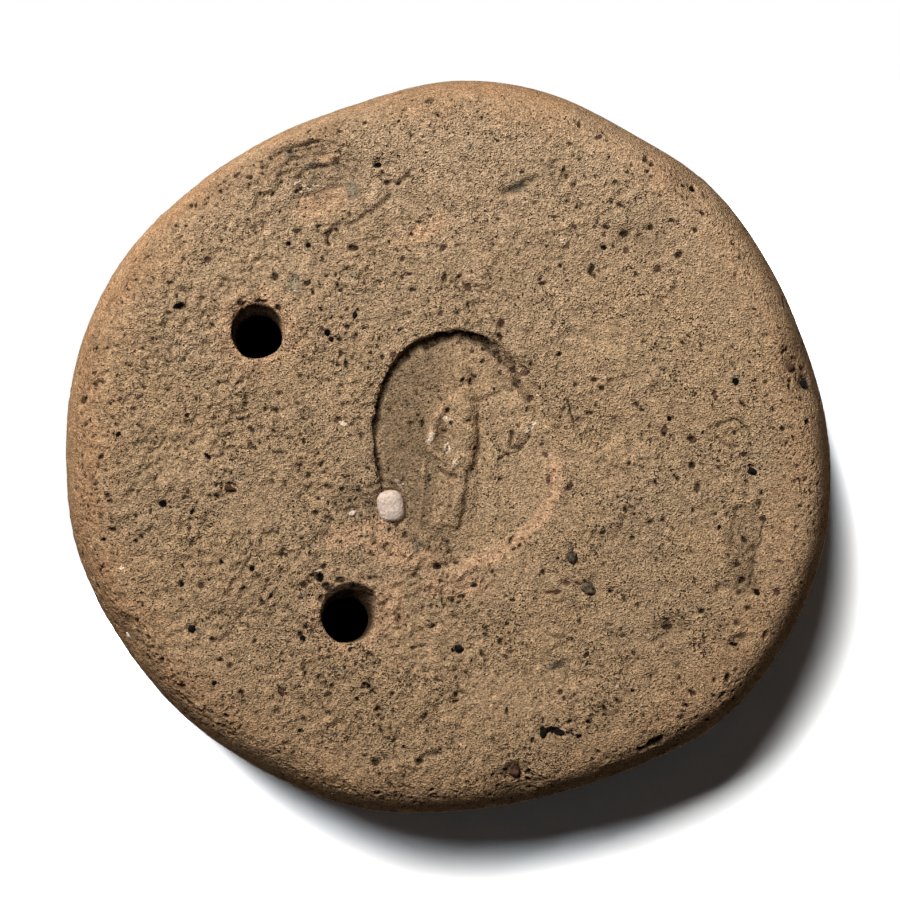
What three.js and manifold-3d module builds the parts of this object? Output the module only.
// A pendant of fired clay: a thick disc shaped by hand, with two cord holes and an oval seal
// pressed into its face, and the stones and grits that the clay was fired around.
// Millimetres. The disc lies on its flat back, and +Z points out of the stamped face.
import * as THREE from 'three';
import { mergeVertices } from 'three/addons/utils/BufferGeometryUtils.js';
import Module from 'manifold-3d';

const wasm = await Module();
wasm.setup();

const { degToRad } = THREE.MathUtils;
const fullTurn = 2 * Math.PI;

// The disc: its widest size, its thickness, and how far the rounded rim reaches in from the edge.
const discWidth = 86;
const discThickness = 22;
const rimDepth = 5.6;
const rimSwell = 0.9; // the rim is this much softer on its lower side, and firmer opposite
const rimSwellAngle = degToRad(280);
const rimRoundness = 2.4; // 2 is an ellipse, and more is squarer

// The edge's distance from the middle, every 15 degrees from +X towards +Y, as shares of
// half the width.
const edgeShares = [
  1.002, 0.974, 0.966, 0.968, 0.951, 0.962, 0.955, 0.926, 0.932, 0.95, 0.979, 0.998,
  1.001, 1.008, 0.996, 0.99, 0.979, 0.978, 0.961, 0.955, 0.975, 1.018, 1.024, 1.022,
];

// The cord holes: one bore for both, and each mouth's width, depth and drift from the bore.
const boreDiameter = 5.9;
const cordHoles = [
  { x: -21.3, y: 12.8, mouth: 6.4, mouthDepth: 1.7, driftX: 0, driftY: 0.35 },
  { x: -11.2, y: -19, mouth: 7.3, mouthDepth: 2.3, driftX: 0.42, driftY: 0.5 },
];
const backMouth = 6.6; // where the piercing tool came out
const backMouthDepth = 0.6;

// The seal's oval: it leans to the upper left, and it is deepest on that side.
const seal = {
  x: 2.1,
  y: -0.15,
  width: 20.7,
  height: 26.3,
  lean: degToRad(16),
  deepDepth: 1.25,
  shallowDepth: 0.45,
  deepAngle: degToRad(148),
  wallRun: 0.5, // how far the wall slopes in from the oval's edge to the floor
  floorDrift: 0.35, // the floor lies this much nearer the deep side, so that wall is steep
};

// The worn standing figure in the seal, in low relief.
const figure = { height: 18.2, relief: 0.5, driftX: -0.3, driftY: 0.1 };

// Its limbs and setting: place, half sizes and relief as shares of the figure's height and
// relief, and each one's lean in degrees.
const figureShares = [
  { x: -0.012, y: 0.433, wide: 0.049, tall: 0.066, relief: 1, lean: 0 }, // head
  { x: -0.006, y: 0.348, wide: 0.027, tall: 0.05, relief: 0.7, lean: 0 }, // neck
  { x: 0.01, y: 0.25, wide: 0.1, tall: 0.105, relief: 1.1, lean: 0 }, // chest
  { x: 0.006, y: 0.075, wide: 0.076, tall: 0.135, relief: 1.05, lean: 0 }, // waist
  { x: 0.004, y: -0.105, wide: 0.09, tall: 0.09, relief: 1.1, lean: 0 }, // hips
  { x: -0.146, y: 0.159, wide: 0.036, tall: 0.122, relief: 0.85, lean: -29 }, // bent arm
  { x: -0.148, y: 0.004, wide: 0.03, tall: 0.085, relief: 0.8, lean: 40 }, // its forearm
  { x: 0.142, y: 0.14, wide: 0.032, tall: 0.128, relief: 0.7, lean: 19 }, // hanging arm
  { x: -0.055, y: -0.323, wide: 0.048, tall: 0.175, relief: 1, lean: -8 }, // standing leg
  { x: 0.03, y: -0.317, wide: 0.044, tall: 0.175, relief: 0.85, lean: -10 }, // other leg
  { x: -0.122, y: -0.488, wide: 0.068, tall: 0.023, relief: 0.7, lean: 0 }, // foot
  { x: 0.012, y: -0.494, wide: 0.045, tall: 0.022, relief: 0.6, lean: 0 }, // other foot
  { x: -0.06, y: -0.53, wide: 0.2, tall: 0.017, relief: 0.5, lean: 2 }, // ground
  { x: 0.18, y: -0.2, wide: 0.034, tall: 0.3, relief: 0.6, lean: 0 }, // pillar
  { x: 0.19, y: 0.11, wide: 0.056, tall: 0.03, relief: 0.6, lean: 0 }, // its top
  { x: -0.232, y: -0.29, wide: 0.019, tall: 0.21, relief: 0.55, lean: 2 }, // staff
];

// Stones and grits sit in sockets of their own shape, this much larger all round.
const socketGap = 0.15;

// The white pebble beside the seal.
const pebble = {
  x: -6.45,
  y: -6.7,
  width: 3.2,
  length: 3.7,
  depth: 2.8,
  turn: degToRad(12),
  proud: 0.5, // how far it stands out of the face
};
const pebbleSquareness = 0.72; // 1 is an ellipsoid, and less is squarer

// The grits that show: where, as shares of half the disc's width, and their real sizes.
const gritProudShare = 0.22; // how much of a grit's depth stands out of the clay
const grits = [
  { name: 'black_grit_1', xShare: 0.925, yShare: 0.166, length: 1.7, width: 1.15, turn: 48 },
  { name: 'black_grit_2', xShare: 0.246, yShare: -0.737, length: 1.5, width: 0.9, turn: 86 },
  { name: 'black_grit_3', xShare: 0.286, yShare: -0.74, length: 1.7, width: 0.8, turn: -15 },
  { name: 'black_grit_4', xShare: 0.028, yShare: -0.52, length: 1, width: 0.9, turn: -20 },
  { name: 'black_grit_5', xShare: 0.633, yShare: 0.673, length: 1.1, width: 0.85, turn: -10 },
  { name: 'black_grit_6', xShare: -0.242, yShare: 0.344, length: 1.05, width: 0.9, turn: 70 },
  { name: 'black_grit_7', xShare: -0.302, yShare: 0.279, length: 0.95, width: 0.95, turn: 0 },
  { name: 'black_grit_8', xShare: 0.785, yShare: -0.063, length: 1.3, width: 0.95, turn: -20 },
  { name: 'black_grit_9', xShare: -0.664, yShare: -0.47, length: 1.35, width: 0.9, turn: -35 },
  { name: 'grey_grit_1', xShare: 0.32, yShare: -0.288, length: 1.2, width: 1.15, turn: 0 },
  { name: 'grey_grit_2', xShare: 0.362, yShare: -0.366, length: 2, width: 1.5, turn: 10 },
  { name: 'red_grit_1', xShare: 0.171, yShare: -0.846, length: 2, width: 1.45, turn: 80 },
  { name: 'red_grit_2', xShare: 0.889, yShare: 0.208, length: 1.1, width: 0.9, turn: -40 },
  { name: 'red_grit_3', xShare: -0.565, yShare: -0.11, length: 1.45, width: 0.8, turn: -10 },
  { name: 'red_grit_4', xShare: -0.432, yShare: -0.635, length: 1.2, width: 0.8, turn: 120 },
  { name: 'white_grit_1', xShare: -0.833, yShare: -0.492, length: 1.2, width: 0.85, turn: 110 },
  { name: 'white_grit_2', xShare: -0.249, yShare: -0.173, length: 1.1, width: 0.85, turn: 30 },
];

// Scars in the clay, where something broke or burnt out: places as shares, sizes in full.
const scars = [
  { xShare: 0.547, yShare: -0.771, length: 3, width: 1.3, depth: 1.1, turn: 24 }, // in the rim
  { xShare: -0.356, yShare: 0.736, length: 7.4, width: 4.6, depth: 0.4, turn: 18 }, // rough patch
  { xShare: 0.232, yShare: 0.905, length: 1.2, width: 0.7, depth: 0.6, turn: -8 }, // top edge
  { xShare: -0.74, yShare: -0.144, length: 0.85, width: 0.85, depth: 0.8, turn: 0 }, // round pits
  { xShare: -0.607, yShare: -0.609, length: 0.8, width: 0.65, depth: 0.6, turn: 80 },
  { xShare: -0.33, yShare: -0.33, length: 0.8, width: 0.7, depth: 0.6, turn: 0 },
];

// How finely round forms are faceted, and how much rounder than 20 faces each stone is.
const roundness = { white: 0, black: 0, grey: 1, red: 0 };
const pebbleRoundness = 3;
const ballSides = 12;
const ballRings = 8;
const edgeSteps = 96;
const rimSteps = 14;
const boreSides = 32;
const mouthSteps = 4;
const sealSides = 64;
const cutOverrun = 2; // how far a cutter runs past the surface that it cuts
const mergeTolerance = 1e-4;

// A closed curve through the edge's shares, read by angle.
const edgeCurve = new THREE.SplineCurve(
  [-1, ...edgeShares.keys(), edgeShares.length, edgeShares.length + 1].map(
    (k) => new THREE.Vector2(k, edgeShares.at(k % edgeShares.length)),
  ),
);

function edgeShare(angle) {
  const turns = ((angle / fullTurn) % 1 + 1) % 1;
  return edgeCurve.getPoint((turns * edgeShares.length + 1) / (edgeShares.length + 2)).y;
}

// The edge as drawn by its shares is scaled to the disc's width and moved to be centred.
const edgeBox = new THREE.Box2().setFromPoints(
  Array.from({ length: edgeSteps }, (_, k) => {
    const angle = (k / edgeSteps) * fullTurn;
    const share = edgeShare(angle);
    return new THREE.Vector2(share * Math.cos(angle), share * Math.sin(angle));
  }),
);
const edgeScale = discWidth / edgeBox.getSize(new THREE.Vector2()).x;
const edgeMiddle = edgeBox.getCenter(new THREE.Vector2()).multiplyScalar(-edgeScale);

function rimDepthAt(angle) {
  return rimDepth + rimSwell * Math.cos(angle - rimSwellAngle);
}

// The height of the stamped face, and of its rounded rim, over a place on the disc.
function faceHeight(x, y) {
  const dx = x - edgeMiddle.x;
  const dy = y - edgeMiddle.y;
  const angle = Math.atan2(dy, dx);
  const inward = edgeShare(angle) * edgeScale - Math.hypot(dx, dy);
  const outShare = 1 - Math.min(1, Math.max(0, inward / rimDepthAt(angle)));
  const riseShare = (1 - outShare ** rimRoundness) ** (1 / rimRoundness);
  return (discThickness / 2) * (1 + riseShare);
}

// The way out of the surface there.
function faceNormal(x, y) {
  const step = rimDepth / edgeSteps;
  return new THREE.Vector3(
    faceHeight(x - step, y) - faceHeight(x + step, y),
    faceHeight(x, y - step) - faceHeight(x, y + step),
    2 * step,
  ).normalize();
}

// A solid from a geometry, once its shared corners are merged.
function solidOf(geometry) {
  const bare = new THREE.BufferGeometry();
  bare.setAttribute('position', geometry.getAttribute('position'));
  bare.setIndex(geometry.index);
  const merged = mergeVertices(bare, mergeTolerance);
  return new wasm.Manifold(
    new wasm.Mesh({
      numProp: 3,
      vertProperties: merged.getAttribute('position').array,
      triVerts: new Uint32Array(merged.index.array),
    }),
  );
}

function geometryOf(solid) {
  const { vertProperties, triVerts } = solid.getMesh();
  const geometry = new THREE.BufferGeometry();
  geometry.setAttribute('position', new THREE.BufferAttribute(vertProperties, 3));
  geometry.setIndex(new THREE.BufferAttribute(triVerts, 1));
  geometry.computeVertexNormals();
  return geometry;
}

// A closed body through rings of points, each ring counter-clockwise seen from +Z and
// above the last, with a fan to the middle of the first and of the last.
function loft(rings) {
  const count = rings[0].length;
  const middle = (ring) =>
    ring.reduce((sum, p) => sum.add(p), new THREE.Vector3()).divideScalar(count);
  const points = [...rings.flat(), middle(rings[0]), middle(rings.at(-1))];
  const lastRing = (rings.length - 1) * count;
  const bottom = points.length - 2;
  const top = points.length - 1;
  const index = [];
  for (let k = 0; k < count; k++) {
    const next = (k + 1) % count;
    for (let base = 0; base < lastRing; base += count) {
      index.push(base + k, base + next, base + count + next);
      index.push(base + k, base + count + next, base + count + k);
    }
    index.push(bottom, next, k);
    index.push(top, lastRing + k, lastRing + next);
  }
  return new THREE.BufferGeometry().setFromPoints(points).setIndex(index);
}

// The disc before anything is cut: a flat back, a rounded rim and a flat face.
function discBlank() {
  const rings = Array.from({ length: rimSteps + 1 }, (_, j) => {
    const climb = (j / rimSteps - 1 / 2) * Math.PI;
    const out = Math.max(0, Math.cos(climb)) ** (2 / rimRoundness);
    const rise = Math.sign(climb) * Math.abs(Math.sin(climb)) ** (2 / rimRoundness);
    return Array.from({ length: edgeSteps }, (_, k) => {
      const angle = (k / edgeSteps) * fullTurn;
      const radius = edgeShare(angle) * edgeScale - rimDepthAt(angle) * (1 - out);
      return new THREE.Vector3(
        edgeMiddle.x + radius * Math.cos(angle),
        edgeMiddle.y + radius * Math.sin(angle),
        (discThickness / 2) * (1 + rise),
      );
    });
  });
  return solidOf(loft(rings));
}

// Turns a profile of radius and height about +Z.
function turned(profile) {
  const points = profile.map(([radius, height]) => new THREE.Vector2(radius, height));
  return new THREE.LatheGeometry(points, boreSides).rotateX(Math.PI / 2);
}

// What a cord hole takes away: the straight bore, the rounded mouth in the face, which
// drifted as the clay was worked, and the small one in the back.
function cordHoleCutter(hole) {
  const bore = boreDiameter / 2;
  const straight = turned([
    [0, -cutOverrun],
    [backMouth / 2, -cutOverrun],
    [backMouth / 2, 0],
    [bore, backMouthDepth],
    [bore, discThickness + cutOverrun],
    [0, discThickness + cutOverrun],
  ]);
  const inner = bore - Math.hypot(hole.driftX, hole.driftY);
  const lip = Array.from({ length: mouthSteps + 1 }, (_, k) => {
    const angle = ((k / mouthSteps) * Math.PI) / 2;
    return [
      inner + (hole.mouth / 2 - inner) * (1 - Math.cos(angle)),
      discThickness - hole.mouthDepth * (1 - Math.sin(angle)),
    ];
  });
  const mouth = turned([
    [0, discThickness - hole.mouthDepth],
    ...lip,
    [hole.mouth / 2, discThickness + cutOverrun],
    [0, discThickness + cutOverrun],
  ]);
  return solidOf(straight.translate(hole.x, hole.y, 0)).add(
    solidOf(mouth.translate(hole.x + hole.driftX, hole.y + hole.driftY, 0)),
  );
}

// How deep the seal's floor lies under the face, in a plane that slopes to its deep side.
function sealDepth(x, y) {
  const along =
    (x - seal.x) * Math.cos(seal.deepAngle) + (y - seal.y) * Math.sin(seal.deepAngle);
  const mean = (seal.deepDepth + seal.shallowDepth) / 2;
  return mean + ((seal.deepDepth - seal.shallowDepth) * along) / seal.height;
}

// One oval ring of the seal, drawn in from its edge and moved to the deep side.
function sealRing(inset, drift, heightAt) {
  return Array.from({ length: sealSides }, (_, k) => {
    const angle = (k / sealSides) * fullTurn;
    const p = new THREE.Vector2(
      (seal.width / 2 - inset) * Math.cos(angle),
      (seal.height / 2 - inset) * Math.sin(angle),
    ).rotateAround(new THREE.Vector2(), seal.lean);
    const x = seal.x + p.x + drift * Math.cos(seal.deepAngle);
    const y = seal.y + p.y + drift * Math.sin(seal.deepAngle);
    return new THREE.Vector3(x, y, heightAt(x, y));
  });
}

function sealCutter() {
  return solidOf(
    loft([
      sealRing(seal.wallRun, seal.floorDrift, (x, y) => discThickness - sealDepth(x, y)),
      sealRing(0, 0, () => discThickness),
      sealRing(0, 0, () => discThickness + cutOverrun),
    ]),
  );
}

// A ball squeezed to half sizes, turned about +Z by degrees and put in its place.
function ellipsoid(halfX, halfY, halfZ, turn, x, y, z) {
  return solidOf(
    new THREE.SphereGeometry(1, ballSides, ballRings)
      .rotateX(Math.PI / 2)
      .scale(halfX, halfY, halfZ)
      .rotateZ(degToRad(turn))
      .translate(x, y, z),
  );
}

// The figure's limbs lie half sunk in the seal's floor.
function figureLimbs() {
  return figureShares.map((limb) => {
    const x = seal.x + figure.driftX + limb.x * figure.height;
    const y = seal.y + figure.driftY + limb.y * figure.height;
    return ellipsoid(
      limb.wide * figure.height,
      limb.tall * figure.height,
      limb.relief * figure.relief,
      limb.lean,
      x,
      y,
      discThickness - sealDepth(x, y),
    );
  });
}

function scarCutter(scar) {
  const x = (scar.xShare * discWidth) / 2;
  const y = (scar.yShare * discWidth) / 2;
  return ellipsoid(
    scar.length / 2,
    scar.width / 2,
    scar.depth,
    scar.turn,
    x,
    y,
    faceHeight(x, y),
  );
}

// A unit ball of flat faces, pulled towards a box by its squareness.
function roughBall(detail, squareness) {
  const ball = new THREE.IcosahedronGeometry(1, detail);
  const place = ball.getAttribute('position');
  const pull = (v) => Math.sign(v) * Math.abs(v) ** squareness;
  for (let i = 0; i < place.count; i++) {
    place.setXYZ(i, pull(place.getX(i)), pull(place.getY(i)), pull(place.getZ(i)));
  }
  return ball;
}

// The pebble's shape, or its socket's where there is a gap.
function pebbleShape(gap) {
  const pulled = roughBall(pebbleRoundness, pebbleSquareness);
  pulled.computeBoundingBox();
  const reach = pulled.boundingBox.max;
  return pulled
    .scale(
      (pebble.width / 2 + gap) / reach.x,
      (pebble.length / 2 + gap) / reach.y,
      (pebble.depth / 2 + gap) / reach.z,
    )
    .rotateZ(pebble.turn)
    .translate(
      pebble.x,
      pebble.y,
      faceHeight(pebble.x, pebble.y) + pebble.proud - pebble.depth / 2,
    );
}

// A grit's name starts with what it is made of.
function stoneOf(grit) {
  return grit.name.split('_')[0];
}

// A grit's shape, or its socket's: it is as deep as it is wide, and square to the surface.
function gritShape(grit, gap) {
  const x = (grit.xShare * discWidth) / 2;
  const y = (grit.yShare * discWidth) / 2;
  const out = faceNormal(x, y);
  const sink = grit.width * (1 / 2 - gritProudShare);
  const seat = new THREE.Vector3(x, y, faceHeight(x, y)).addScaledVector(out, -sink);
  const upright = new THREE.Quaternion().setFromUnitVectors(new THREE.Vector3(0, 0, 1), out);
  return roughBall(roundness[stoneOf(grit)], 1)
    .scale(grit.length / 2 + gap, grit.width / 2 + gap, grit.width / 2 + gap)
    .rotateZ(degToRad(grit.turn))
    .applyQuaternion(upright)
    .translate(seat.x, seat.y, seat.z);
}

const finishes = {
  clay: { color: '#a98c69', roughness: 0.95, metalness: 0 },
  white: { color: '#cfc4b6', roughness: 0.7, metalness: 0 },
  black: { color: '#1c1a18', roughness: 0.5, metalness: 0 },
  grey: { color: '#4a463f', roughness: 0.8, metalness: 0 },
  red: { color: '#5e3628', roughness: 0.85, metalness: 0 },
};

function mesh(name, solid, finish) {
  const made = new THREE.Mesh(
    geometryOf(solid),
    new THREE.MeshStandardMaterial(finishes[finish]),
  );
  made.name = name;
  return made;
}

function clayDisk() {
  const cut = [
    sealCutter(),
    ...cordHoles.map(cordHoleCutter),
    ...scars.map(scarCutter),
  ].reduce((disc, cutter) => disc.subtract(cutter), discBlank());
  const carved = figureLimbs().reduce((disc, limb) => disc.add(limb), cut);
  const sockets = [pebbleShape(socketGap), ...grits.map((grit) => gritShape(grit, socketGap))];
  return sockets.reduce((disc, socket) => disc.subtract(solidOf(socket)), carved);
}

const pendant = new THREE.Group();
pendant.add(mesh('clay_disk', clayDisk(), 'clay'));
pendant.add(mesh('white_pebble', solidOf(pebbleShape(0)), 'white'));
for (const grit of grits) {
  pendant.add(mesh(grit.name, solidOf(gritShape(grit, 0)), stoneOf(grit)));
}

export default pendant;
